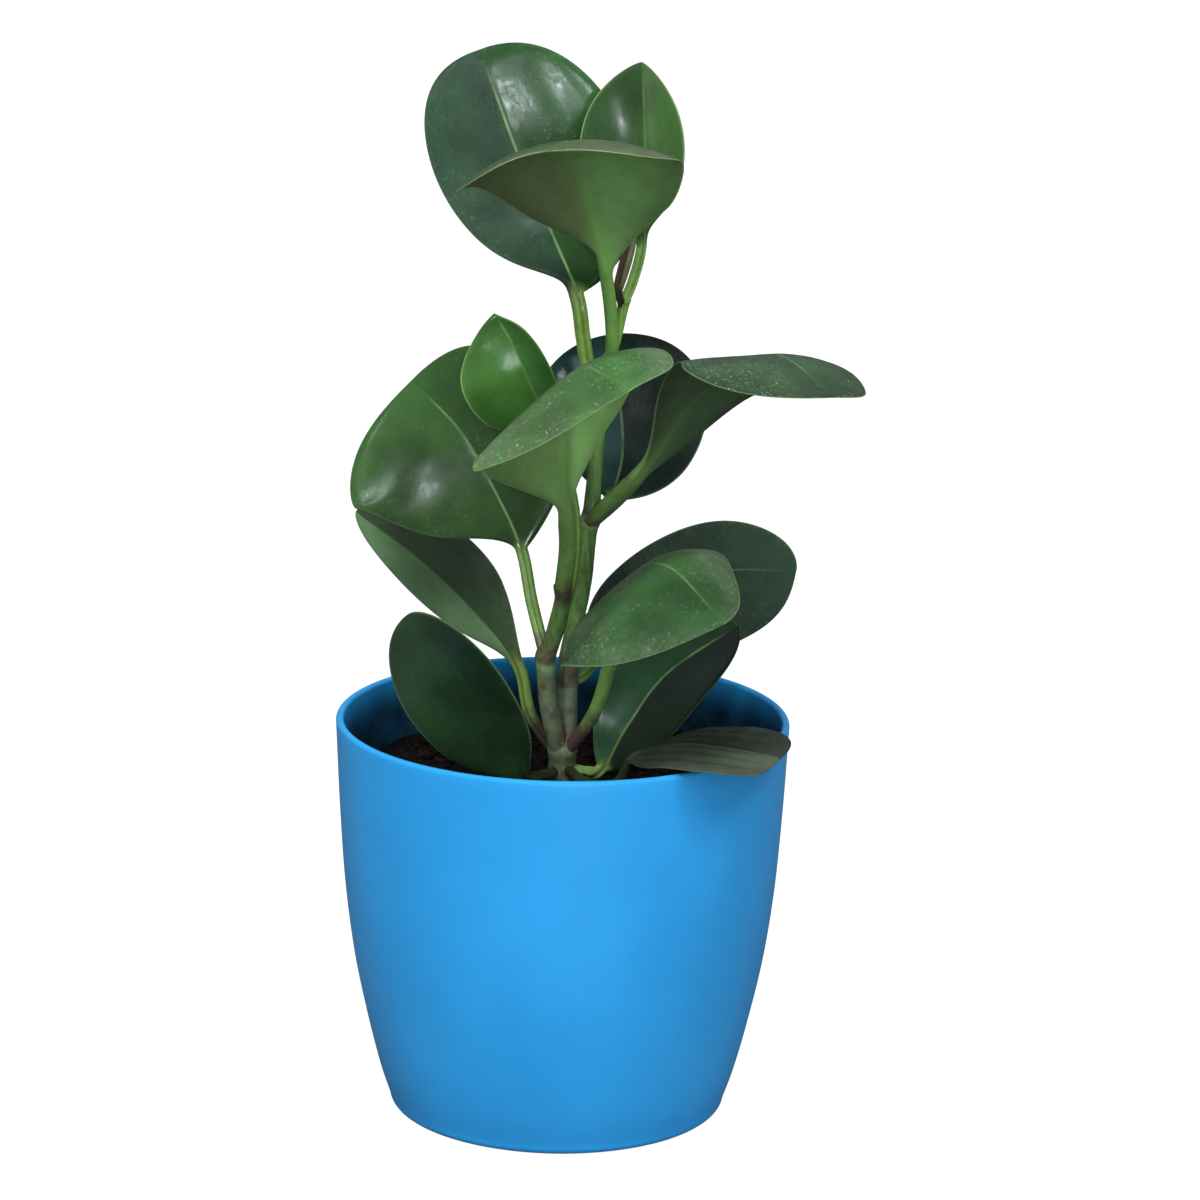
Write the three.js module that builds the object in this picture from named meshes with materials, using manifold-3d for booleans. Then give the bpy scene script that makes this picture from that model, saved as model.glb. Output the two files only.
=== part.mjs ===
// A young peperomia in a plain round plastic pot, at its real size in millimetres.
// +Z is up, +X is the viewer's right and -Y is the viewer's side.
// The origin is the centre of the pot's flat underside.
import * as THREE from 'three';
import { mergeVertices } from 'three/addons/utils/BufferGeometryUtils.js';
import Module from 'manifold-3d';

const wasm = await Module();
wasm.setup();

// ---------------------------------------------------------------- pot and soil
const POT_HEIGHT = 111.2;
const POT_WALL = 2.2;
const POT_FLOOR = 3.2;
const RIM_ROUND = POT_WALL / 2;   // the rim's edge is a full half round of the wall
const FOOT_ROUND = 2.5;
const FLOOR_ROUND = 2.4;          // between the floor and the inside of the wall
const POT_SEGMENTS = 48;
// Outer radius of the pot at heights above the table, from the end of the foot's round.
const POT_OUTLINE = [
  [FOOT_ROUND, 46.8], [12, 49.9], [26, 53.4], [44, 57.1], [64, 59.7], [86, 61.3],
  [POT_HEIGHT - RIM_ROUND, 62.5],
];
const SOIL_LEVEL = 94;
const SOIL_EDGE_DIP = 1.2;
const SOIL_TOP = [[50, 0.4], [36, 0], [20, 0], [0, 0]];   // radius and drop below the level
const SOIL_FLAT = 15;             // radius of the even patch round the stem
const SOIL_ROUGHNESS = 0.7;
const SOIL_WAVES = [[0.31, 0.17], [-0.11, 0.37]];         // radians per mm along x and y
const GAP = 0.3;                  // clearance between neighbouring solids

// ---------------------------------------------------------------- stems
// [x, y, z, radius] along each stem. The swollen places are the leaf nodes.
const STEM_SIDES = 10;
const STEM_STEPS = 2;             // rings between two listed points
const MAIN_STEM = [
  [0, -5, 64, 2.2], [0, -5.5, 80, 3.4], [0, -6, 94, 4.0], [0, -6, 100, 3.8],
  [0, -6, 104, 4.0], [1, -4, 109, 3.1], [1, -3, 114, 2.9], [1, -2, 120, 2.9],
  [1, -2, 122.5, 3.0], [1.3, -1, 128, 2.8], [2.5, 0, 136, 2.4], [5, 2, 149, 2.2],
  [6, 3.5, 162, 2.3], [6.5, 4, 166, 2.8], [7, 4.2, 171, 2.3], [8, 5, 188, 2.0],
  [8.7, 5.8, 201, 2.1], [9, 6, 205.5, 2.9], [10.3, 6.8, 209.5, 1.9],
  [12.5, 8, 216, 1.5], [14.2, 8.8, 224, 1.5], [14.5, 8.6, 227, 2.1],
];
const SIDE_STEM = [
  [0, -6.5, 100, 2.6], [-1.5, -7.5, 107, 2.8], [-3.9, -9, 117, 2.6],
  [-4.8, -10, 127, 2.6], [-5, -10, 131, 2.9], [-3.5, -10.5, 135, 2.4],
  [-1.8, -11.7, 141, 2.5], [-0.5, -13, 148, 2.3], [-0.5, -14, 152, 2.7],
];

// ---------------------------------------------------------------- leaves
// One closed solid is a petiole that flattens into a blade.
//   rib     points of the petiole and the midrib, from the stem to the tip
//   neck    index in rib of the point where the blade begins
//   stalk   half thickness of the petiole
//   side    direction towards the blade's right half, at its base and its tip
//   half    greatest width of the left and the right half
//   swell   rise of the two halves' outlines from the base (small is blunt)
//   taper   fall of the outlines towards the tip (small is round)
//   flare   how much the blade's base is drawn in on each side (1 is a full funnel)
//   bend    lift of the two margins at the base and at the tip (minus droops)
const LEAVES = {
  leaf_crown_left: {
    rib: [[9, 6.5, 203.5], [5.2, 6, 209], [3.6, 5.5, 217], [1.6, 5.8, 228.5], [-5, 12, 243],
      [-15, 19, 264], [-26, 24, 292]],
    neck: 3, stalk: 2.1, side: [[1, 0.3, 0.3], [1, 0.2, 0.35]], half: [23.7, 30],
    swell: [0.9, 0.65], taper: [0.4, 0.45], flare: [0.9, 0], bend: [[4, 2], [4, 2]],
  },
  leaf_crown_right: {
    rib: [[14.5, 8.6, 226], [17, 10.5, 232], [19, 10.5, 241], [19.5, 10.5, 254], [19, 13, 272],
      [18, 17, 290.5]],
    neck: 2, stalk: 1.4, side: [[1, 0.6, 0], [1, 0.2, 0]], half: [20, 9.5],
    swell: [0.9, 1.1], taper: [0.75, 0.75], flare: [0.6, 0.9], bend: [[4, 6], [4, 6]],
  },
  leaf_crown_front: {
    rib: [[9.5, 6, 206.5], [11.5, 1, 214], [11, 1, 225], [9, -2, 238], [5, -8, 255],
      [1, -24, 274], [-5, -54, 278]],
    neck: 2.75, stalk: 1.8, side: [[-1, 0, -0.05], [-1, 0.1, -0.12]], half: [28.2, 31.5],
    swell: [0.95, 1.6], taper: [0.4, 0.5], flare: [0.6, 1.6], bend: [[-9, 2], [-6, -14]],
  },
  leaf_mid_left: {
    rib: [[-5, -10, 131], [-9, -8, 146], [-12, -6, 160], [-18, -4, 173], [-29, 4, 190],
      [-43, 10, 203]],
    neck: 2, stalk: 1.7, side: [[1, 0, 0.6], [1, 0, 0.6]], half: [35.5, 24.5],
    swell: [1.1, 0.7], taper: [0.4, 0.4], flare: [0.4, 0.3], bend: [[3, 3], [3, 3]],
  },
  leaf_young: {
    rib: [[-2, -11.5, 140], [1.8, -7.5, 152], [2.2, -9, 172], [-4, -13.5, 195], [-10, -16, 208],
      [-15, -16, 219], [-20, -14, 227]],
    neck: 3, stalk: 1.5, side: [[1, 0, 0.4], [1, 0, 0.4]], half: [17, 7.5],
    swell: [0.6, 0.8], taper: [0.7, 1.1], flare: [0, 0], bend: [[6, 8], [6, 8]],
  },
  leaf_back: {
    rib: [[6.5, 5, 165], [9, 10, 168], [12, 14, 170], [15, 22, 180], [14, 30, 194], [11, 38, 211]],
    neck: 2, stalk: 1.8, side: [[1, 0, 0], [1, 0, 0]], half: [24, 24],
    swell: [0.8, 0.8], taper: [0.5, 0.5], flare: [0, 0], bend: [[3, 3], [3, 3]],
  },
  leaf_mid_front: {
    rib: [[-0.5, -13.7, 151], [0.6, -17, 164], [-0.2, -20, 177], [-0.6, -26, 196], [3, -38, 217],
      [16, -62, 217]],
    neck: 1.5, stalk: 2.4, side: [[-0.72, -0.5, -0.4], [-0.72, -0.5, -0.4]], half: [22, 43],
    swell: [1.5, 1.5], taper: [0.5, 0.5], flare: [0.9, 0.9], bend: [[-3, -3], [-8, -9]],
  },
  leaf_right_out: {
    rib: [[6.5, 3.5, 166], [14.5, -2, 175], [23.5, -4, 186.5], [36, -10, 206], [54, -25, 219],
      [69, -47, 213]],
    neck: 1.3, stalk: 2.4, side: [[-0.8, -0.6, 0.04], [-0.8, -0.6, 0.08]], half: [24.5, 34],
    swell: [1.4, 2.2], taper: [0.5, 0.5], flare: [0.2, 0.2], bend: [[2, 2], [-7, -2]],
  },
  leaf_left_back: {
    rib: [[-0.5, -6, 101], [-9, 2, 111], [-13, 8, 124], [-26, 14, 138], [-41, 18, 151],
      [-58.5, 22, 163]],
    neck: 2, stalk: 1.7, side: [[0.6, -0.3, 0.6], [0.6, -0.3, 0.6]], half: [9, 16.5],
    swell: [0.7, 0.7], taper: [0.6, 0.6], flare: [0.5, 0.5], bend: [[2, 2], [2, 2]],
  },
  leaf_left_low: {
    rib: [[-1, -7, 97.5], [-6, -14, 98], [-10, -18, 99.5], [-17, -22, 113], [-28, -26, 131],
      [-42, -28, 147]],
    neck: 2, stalk: 1.7, side: [[0.7, -0.2, 0.5], [0.7, -0.2, 0.5]], half: [19, 10.5],
    swell: [0.7, 0.7], taper: [0.5, 0.5], flare: [0, 0.3], bend: [[3, 3], [3, 3]],
  },
  leaf_right_low: {
    rib: [[1, -5.5, 98], [7, -7.5, 97.5], [11, -8, 99], [17.6, 2, 108.3], [28.5, 12, 121],
      [48, 20, 133]],
    neck: 2, stalk: 1.7, side: [[0.7, 0.2, -0.5], [0.7, 0.2, -0.5]], half: [13.5, 12.5],
    swell: [0.7, 0.7], taper: [0.5, 0.5], flare: [0, 0], bend: [[3, 3], [3, 3]],
  },
  leaf_right_front: {
    rib: [[1, -7, 103], [9, -12, 117], [13, -18, 135], [16, -24, 155], [27, -42, 165],
      [42, -62, 155]],
    neck: 2, stalk: 1.9, side: [[-0.66, -0.65, -0.37], [-0.66, -0.65, -0.37]], half: [18.5, 40],
    swell: [0.8, 1.2], taper: [0.6, 0.5], flare: [0, 0.6], bend: [[-2, -2], [-10, -13]],
  },
  leaf_right_back: {
    rib: [[1, -2, 121], [6, 3.5, 123], [9, 10, 126], [20, 16, 137], [41, 24, 147], [64.5, 32, 146]],
    neck: 2, stalk: 1.8, side: [[0.5, 0.3, -0.8], [0.4, 0.4, -0.8]], half: [18, 25],
    swell: [0.6, 0.8], taper: [0.55, 0.38], flare: [0, 0], bend: [[2, 2], [2, 2]],
  },
  leaf_rim: {
    rib: [[1, -7.5, 99], [7, -16, 96.9], [15, -20.5, 98.5], [20, -23, 107], [31, -31, 112.4],
      [43.5, -39, 114], [58.5, -44, 113.1]],
    neck: 2.7, stalk: 1.5, side: [[0.05, -1, -0.01], [0.05, -1, -0.01]], half: [22, 21.5],
    swell: [1.4, 0.85], taper: [0.3, 0.2], flare: [2, 0.3], bend: [[0.5, 0], [1.2, 0]],
  },
  bud: {
    rib: [[14, 8, 225.5], [13, 5, 230], [14, 4.5, 236], [15.5, 4.5, 242], [17, 5, 248]],
    neck: 1, stalk: 1.1, side: [[1, 0.4, 0], [1, 0.4, 0]], half: [1.7, 1.7],
    swell: [0.5, 0.5], taper: [0.5, 0.5], flare: [0, 0], bend: [[0.8, 0.8], [0.8, 0.8]],
  },
};
const BLADE_MIDDLE = 0.75;        // half thickness of a blade along its midrib
const BLADE_EDGE = 0.42;          // half thickness of a blade at its margin
const THINNING = 0.3;             // share of the blade over which the stalk thins out
const FLARE_REACH = 0.2;          // share of the blade over which a funnel opens
const PETIOLE_RINGS = 4;
const ACROSS = 6;                 // strips across a blade
const STATIONS = [
  0, 0.05, 0.1, 0.16, 0.24, 0.34, 0.47, 0.6, 0.72, 0.82, 0.9, 0.96, 0.99, 0.9985,
];

// ---------------------------------------------------------------- materials
const COLOURS = {
  pot: [0x2f93dd, 0.38],
  soil: [0x1c1618, 0.95],
  stem: [0x6f7d4a, 0.55],
  bud: [0x5a2f22, 0.5],
  leaf: [0x2f5a34, 0.28],
  leaf_young: [0x4a7d32, 0.3],
  leaf_rim: [0x47523f, 0.5],
};

function material(name) {
  const kind = COLOURS[name] ?? COLOURS.leaf;
  return new THREE.MeshStandardMaterial({ color: kind[0], roughness: kind[1], metalness: 0 });
}

// ---------------------------------------------------------------- helpers
function closedGeometry(points, triangles) {
  const geometry = new THREE.BufferGeometry();
  const flat = points.flatMap((p) => [p.x, p.y, p.z]);
  geometry.setAttribute('position', new THREE.Float32BufferAttribute(flat, 3));
  geometry.setIndex(triangles);
  return geometry;
}

function toSolid(geometry) {
  const bare = geometry.clone();
  bare.deleteAttribute('normal');
  bare.deleteAttribute('uv');
  const merged = mergeVertices(bare, 1e-4);
  return new wasm.Manifold(new wasm.Mesh({
    numProp: 3,
    vertProperties: new Float32Array(merged.attributes.position.array),
    triVerts: new Uint32Array(merged.index.array),
  }));
}

function toGeometry(solid) {
  const mesh = solid.getMesh();
  const geometry = new THREE.BufferGeometry();
  geometry.setAttribute('position', new THREE.BufferAttribute(mesh.vertProperties, 3));
  geometry.setIndex(new THREE.BufferAttribute(mesh.triVerts, 1));
  geometry.computeVertexNormals();
  return geometry;
}

// A smooth curve through the points (uniform Catmull-Rom, straight ends), t in 0..1.
function curvePoint(points, t) {
  const spans = points.length - 1;
  const x = Math.min(Math.max(t, 0), 1) * spans;
  const i = Math.min(Math.floor(x), spans - 1);
  const f = x - i;
  const at = (k) => points[k];
  const p1 = at(i);
  const p2 = at(i + 1);
  const p0 = i > 0 ? at(i - 1) : p1.map((c, k) => 2 * c - p2[k]);
  const p3 = i + 2 <= spans ? at(i + 2) : p2.map((c, k) => 2 * c - p1[k]);
  return p1.map((c, k) => 0.5 * (2 * c + (p2[k] - p0[k]) * f
    + (2 * p0[k] - 5 * c + 4 * p2[k] - p3[k]) * f * f
    + (3 * c - p0[k] - 3 * p2[k] + p3[k]) * f * f * f));
}

function curveFrame(points, t, side) {
  const centre = new THREE.Vector3(...curvePoint(points, t).slice(0, 3));
  const ahead = new THREE.Vector3(...curvePoint(points, Math.min(t + 1e-3, 1)).slice(0, 3));
  const behind = new THREE.Vector3(...curvePoint(points, Math.max(t - 1e-3, 0)).slice(0, 3));
  const along = ahead.sub(behind).normalize();
  const across = side.clone().addScaledVector(along, -side.dot(along)).normalize();
  const up = new THREE.Vector3().crossVectors(across, along);
  return { centre, along, across, up };
}

// ---------------------------------------------------------------- stems
// A closed tube with round sections; grow adds to its radius and to both ends.
function stemGeometry(points, grow) {
  const rings = (points.length - 1) * STEM_STEPS;
  const vertices = [];
  const triangles = [];
  const side = new THREE.Vector3(1, 0, 0);
  for (let i = 0; i <= rings; i += 1) {
    const t = i / rings;
    const frame = curveFrame(points, t, side);
    const radius = curvePoint(points, t)[3] + grow;
    let lengthen = 0;
    if (i === 0) lengthen = -grow;
    if (i === rings) lengthen = grow;
    for (let j = 0; j < STEM_SIDES; j += 1) {
      const angle = (2 * Math.PI * j) / STEM_SIDES;
      vertices.push(frame.centre.clone()
        .addScaledVector(frame.along, lengthen)
        .addScaledVector(frame.across, radius * Math.cos(angle))
        .addScaledVector(frame.up, -radius * Math.sin(angle)));
    }
  }
  for (let i = 0; i < rings; i += 1) {
    for (let j = 0; j < STEM_SIDES; j += 1) {
      const a = i * STEM_SIDES + j;
      const b = i * STEM_SIDES + ((j + 1) % STEM_SIDES);
      triangles.push(a, b, b + STEM_SIDES, a, b + STEM_SIDES, a + STEM_SIDES);
    }
  }
  const last = rings * STEM_SIDES;
  for (let j = 1; j < STEM_SIDES - 1; j += 1) {
    triangles.push(0, j + 1, j, last, last + j, last + j + 1);
  }
  return closedGeometry(vertices, triangles);
}

function stemSolid(grow) {
  return toSolid(stemGeometry(MAIN_STEM, grow)).add(toSolid(stemGeometry(SIDE_STEM, grow)));
}

// ---------------------------------------------------------------- leaves
// Share of the full half width at u, from the blade's base (0) to its tip (1).
function outline(u, swell, taper, flare) {
  const top = swell / (swell + taper);
  const open = Math.max(0, 1 - flare * Math.exp(-((u / FLARE_REACH) ** 2)));
  return open * (u / top) ** swell * ((1 - u) / (1 - top)) ** taper;
}

function leafGeometry(leaf) {
  const start = leaf.neck / (leaf.rib.length - 1);
  const stations = [];
  for (let i = 0; i < PETIOLE_RINGS; i += 1) {
    stations.push([start * (i / PETIOLE_RINGS), 0]);
  }
  for (const u of STATIONS) {
    stations.push([start + (1 - start) * u, u]);
  }
  const sides = leaf.side.map((v) => new THREE.Vector3(...v));
  const upper = [];
  const lower = [];
  for (const [t, u] of stations) {
    const frame = curveFrame(leaf.rib, t, sides[0].clone().lerp(sides[1], u));
    const fade = Math.min(u / THINNING, 1);
    const middle = leaf.stalk + (BLADE_MIDDLE - leaf.stalk) * fade * (2 - fade);
    for (let j = 0; j <= ACROSS; j += 1) {
      const v = (2 * j) / ACROSS - 1;
      const half = v < 0 ? 0 : 1;
      const share = outline(u, leaf.swell[half], leaf.taper[half], leaf.flare[half]);
      const width = Math.hypot(leaf.stalk * (1 - u), leaf.half[half] * share);
      const bend = leaf.bend[0][half] * (1 - u) + leaf.bend[1][half] * u;
      const thick = BLADE_EDGE + (middle - BLADE_EDGE) * Math.sqrt(1 - v * v);
      const point = frame.centre.clone()
        .addScaledVector(frame.across, v * width)
        .addScaledVector(frame.up, bend * (v * share) ** 2);
      upper.push(point.clone().addScaledVector(frame.up, thick));
      lower.push(point.clone().addScaledVector(frame.up, -thick));
    }
  }
  const row = ACROSS + 1;
  const under = upper.length;
  const rows = stations.length;
  const triangles = [];
  const quad = (a, b, c, d) => triangles.push(a, b, c, a, c, d);
  for (let i = 0; i < rows - 1; i += 1) {
    for (let j = 0; j < ACROSS; j += 1) {
      const a = i * row + j;
      const c = a + row + 1;
      triangles.push(a, a + 1, c, a, c, c - 1);
      triangles.push(under + a, under + c, under + a + 1, under + a, under + c - 1, under + c);
    }
    const left = i * row;
    const right = left + ACROSS;
    quad(left, left + row, under + left + row, under + left);
    quad(right, under + right, under + right + row, right + row);
  }
  const end = (rows - 1) * row;
  for (let j = 0; j < ACROSS; j += 1) {
    quad(j, under + j, under + j + 1, j + 1);
    quad(end + j, end + j + 1, under + end + j + 1, under + end + j);
  }
  return closedGeometry(upper.concat(lower), triangles);
}

// ---------------------------------------------------------------- pot and soil
function lathe(profile) {
  const points = profile.map(([z, r]) => new THREE.Vector2(r, z));
  const geometry = new THREE.LatheGeometry(points, POT_SEGMENTS);
  geometry.rotateX(Math.PI / 2);
  return geometry;
}

// Points [height, radius] of an arc round [z, r], from one turn to another in degrees.
function arc(z, r, radius, from, to) {
  return [0, 0.5, 1].map((share) => {
    const angle = THREE.MathUtils.degToRad(from + (to - from) * share);
    return [z + radius * Math.sin(angle), r + radius * Math.cos(angle)];
  });
}

function wallRadius(z) {
  const i = Math.max(1, POT_OUTLINE.findIndex(([height]) => height >= z));
  const [z0, r0] = POT_OUTLINE[i - 1];
  const [z1, r1] = POT_OUTLINE[i];
  return r0 + ((r1 - r0) * (z - z0)) / (z1 - z0);
}

// The pot's inside from the middle of its floor up to a height, clear of it by a gap.
function insideProfile(gap, top) {
  const corner = POT_FLOOR + FLOOR_ROUND;
  const reach = wallRadius(corner) - POT_WALL - FLOOR_ROUND;
  const profile = [[POT_FLOOR + gap, 0], ...arc(corner, reach, FLOOR_ROUND - gap, -90, 0)];
  for (const [z, r] of POT_OUTLINE) {
    if (z > corner && z < top) profile.push([z, r - POT_WALL - gap]);
  }
  profile.push([top, wallRadius(top) - POT_WALL - gap]);
  return profile;
}

function potGeometry() {
  const [footHeight, footRadius] = POT_OUTLINE[0];
  const [rimHeight, rimRadius] = POT_OUTLINE.at(-1);
  const rim = arc(rimHeight, rimRadius - RIM_ROUND, RIM_ROUND, 0, 90);
  const innerRim = arc(rimHeight, rimRadius - RIM_ROUND, RIM_ROUND, 90, 180);
  return lathe([
    [0, 0],
    ...arc(footHeight, footRadius - FOOT_ROUND, FOOT_ROUND, -90, 0),
    ...POT_OUTLINE.slice(1, -1),
    ...rim,
    ...innerRim.slice(1),
    ...insideProfile(0, rimHeight).reverse().slice(1),
  ]);
}

// The filling: one block with a slightly uneven top and a plain hole for the stem.
function soilGeometry() {
  const edge = SOIL_LEVEL - SOIL_EDGE_DIP;
  const profile = insideProfile(GAP, edge);
  profile.push(...SOIL_TOP.map(([radius, drop]) => [SOIL_LEVEL - drop, radius]));
  const geometry = lathe(profile);
  const position = geometry.attributes.position;
  for (let i = 0; i < position.count; i += 1) {
    const x = position.getX(i);
    const y = position.getY(i);
    const z = position.getZ(i);
    if (z > edge - SOIL_EDGE_DIP && Math.hypot(x, y) > SOIL_FLAT) {
      const lumps = SOIL_WAVES.map(([alongX, alongY]) => Math.sin(x * alongX + y * alongY));
      position.setZ(i, z + (SOIL_ROUGHNESS * (lumps[0] + lumps[1])) / 2);
    }
  }
  return toGeometry(toSolid(geometry).subtract(stemSolid(GAP)));
}

// ---------------------------------------------------------------- assembly
const plant = new THREE.Group();

function addPiece(name, geometry) {
  const mesh = new THREE.Mesh(geometry, material(name));
  mesh.name = name;
  plant.add(mesh);
}

addPiece('pot', potGeometry());
addPiece('soil', soilGeometry());
addPiece('stem', toGeometry(stemSolid(0)));
const stemWithGap = stemSolid(GAP);
for (const [name, leaf] of Object.entries(LEAVES)) {
  addPiece(name, toGeometry(toSolid(leafGeometry(leaf)).subtract(stemWithGap)));
}

export default plant;
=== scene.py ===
"""A young peperomia in a round plastic pot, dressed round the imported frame.

Shapes are worked out in millimetres and turned into metres when a mesh is made.
+Z is up, +X is the viewer's right and -Y is the viewer's side.
"""
import math
import random

import bpy
import numpy as np
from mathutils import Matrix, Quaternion, Vector, noise


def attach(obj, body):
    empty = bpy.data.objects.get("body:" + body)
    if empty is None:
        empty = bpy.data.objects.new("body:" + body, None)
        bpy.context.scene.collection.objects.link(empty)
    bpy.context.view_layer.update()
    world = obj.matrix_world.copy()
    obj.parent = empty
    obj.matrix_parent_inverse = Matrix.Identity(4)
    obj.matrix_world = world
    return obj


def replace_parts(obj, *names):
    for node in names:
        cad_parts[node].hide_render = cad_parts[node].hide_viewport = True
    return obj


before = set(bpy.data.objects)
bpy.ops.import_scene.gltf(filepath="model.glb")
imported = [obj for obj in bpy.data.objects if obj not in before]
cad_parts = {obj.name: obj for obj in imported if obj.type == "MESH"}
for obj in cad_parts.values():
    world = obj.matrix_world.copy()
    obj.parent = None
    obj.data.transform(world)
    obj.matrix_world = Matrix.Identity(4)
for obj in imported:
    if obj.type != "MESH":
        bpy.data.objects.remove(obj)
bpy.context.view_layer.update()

MM = 0.001
SEED = 7

# ---- camera
PICTURE = 1200               # side of the photograph, in its pixels
FOCAL = 5000                 # focal length, in the same pixels
SENSOR = 36.0
CAMERA_TARGET = (9.6, 0, 144.6)
CAMERA_DISTANCE = 1370
CAMERA_ELEVATION = 14.84
CAMERA_ROLL = 1.1

# ---- pot and soil
POT_HEIGHT = 111.2
POT_WALL = 2.2
POT_FLOOR = 3.2
RIM_ROUND = POT_WALL / 2
FOOT_ROUND = 2.5
FLOOR_ROUND = 2.4
FLOOR_RING = 20              # radius of a ring of points on the pot's floor
CENTRE = 0.01                # radius of the smallest ring, round the axis
POT_SEGMENTS = 160
WALL_STEPS = 49
SHADE_FADE = 7               # depth below the rim at which the painted shade inside is full
# Outer radius of the pot at heights above the table, from the end of the foot's round.
POT_OUTLINE = [
    (FOOT_ROUND, 46.8), (12, 49.9), (26, 53.4), (44, 57.1), (64, 59.7), (86, 61.3),
    (POT_HEIGHT - RIM_ROUND, 62.5),
]
SOIL_LEVEL = 94
SOIL_DEPTH = 12              # of the soil that is modelled, down from its level
SOIL_SHOULDER = 3            # depth of the soil's upper corner below its level
SOIL_GAP = 0.15
SOIL_RINGS = 74
SOIL_TURNS = 220
LUMP_HEIGHT = 1.1
GRIT_HEIGHT = 0.55
WALL_DIP = 1.2               # fall of the soil's surface near the wall
DIP_START = 48
STEM_Y = -6                  # where the stems leave the soil, at x = 0
LOOSE_MARGIN = 3             # that the lumps and fibres keep from the pot's wall
CRUMBS = 900
CRUMB_SIZES = (0.35, 1.5)    # of the smallest, and what the largest adds
CRUMB_SIDES = 7
CRUMB_TIERS = 5
CRUMB_CLEARING = 6           # bare radius round the stems
FIBRES = 170
FIBRE_RADII = (0.07, 0.17)
FIBRE_SIDES = 5
FIBRE_STEP = 1.1
FIBRE_LIFT = 0.15

# ---- stems
STEM_SIDES = 28
STEM_STEP = 0.6
STEM_RIDGES = 7
RIDGE_HEIGHT = 0.012         # as a share of the radius
STEM_ROUGHNESS = 0.035       # as a share of the radius
# x, y, z and radius along each stem. The swollen places are the leaf nodes.
MAIN_STEM = [
    (0, -5, 64, 2.2), (0, -5.5, 80, 3.4), (0, -6, 94, 4.0), (0, -6, 100, 3.8),
    (0, -6, 104, 4.0), (1, -4, 109, 3.1), (1, -3, 114, 2.9), (1, -2, 120, 2.9),
    (1, -2, 122.5, 3.0), (1.3, -1, 128, 2.8), (2.5, 0, 136, 2.4), (5, 2, 149, 2.2),
    (6, 3.5, 162, 2.3), (6.5, 4, 166, 2.8), (7, 4.2, 171, 2.3), (8, 5, 188, 2.0),
    (8.7, 5.8, 201, 2.1), (9, 6, 205.5, 2.9), (10.3, 6.8, 209.5, 1.9),
    (12.5, 8, 216, 1.5), (14.2, 8.8, 224, 1.5), (14.5, 8.6, 227, 2.1),
]
SIDE_STEM = [
    (0, -6.5, 100, 2.6), (-1.5, -7.5, 107, 2.8), (-3.9, -9, 117, 2.6),
    (-4.8, -10, 127, 2.6), (-5, -10, 131, 2.9), (-3.5, -10.5, 135, 2.4),
    (-1.8, -11.7, 141, 2.5), (-0.5, -13, 148, 2.3), (-0.5, -14, 152, 2.7),
]
# Height and half height of the brown and the pale bands round each stem.
MAIN_BROWN = [(123.6, 1.6), (169, 1.0), (206.5, 0.6)]
MAIN_PALE = [(104.5, 0.9), (166, 1.2)]
SIDE_BROWN = [(150, 2.6), (132.5, 2.6)]
SIDE_PALE = [(128.6, 0.9)]
# Pale leaf scars: place, direction that they face, and radius.
SCARS = [((0, -9.6, 104.2), (0, -1, 0.15), 1.3), ((-6.4, -12, 130), (-0.5, -1, 0), 1.2)]
SCAR_SIDES = 24
SCAR_HEIGHT = 120            # height up the stem whose colour the scars take
# Reach and lift of a scar's rings as shares of its radius, from its buried edge inwards.
SCAR_OUTLINE = [(1, -0.3), (0.96, 0.03), (0.8, 0.18), (0.55, 0.216), (0.3, 0.144), (0.05, 0.108)]
SCAR_FLATNESS = 0.8          # height over width

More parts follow.
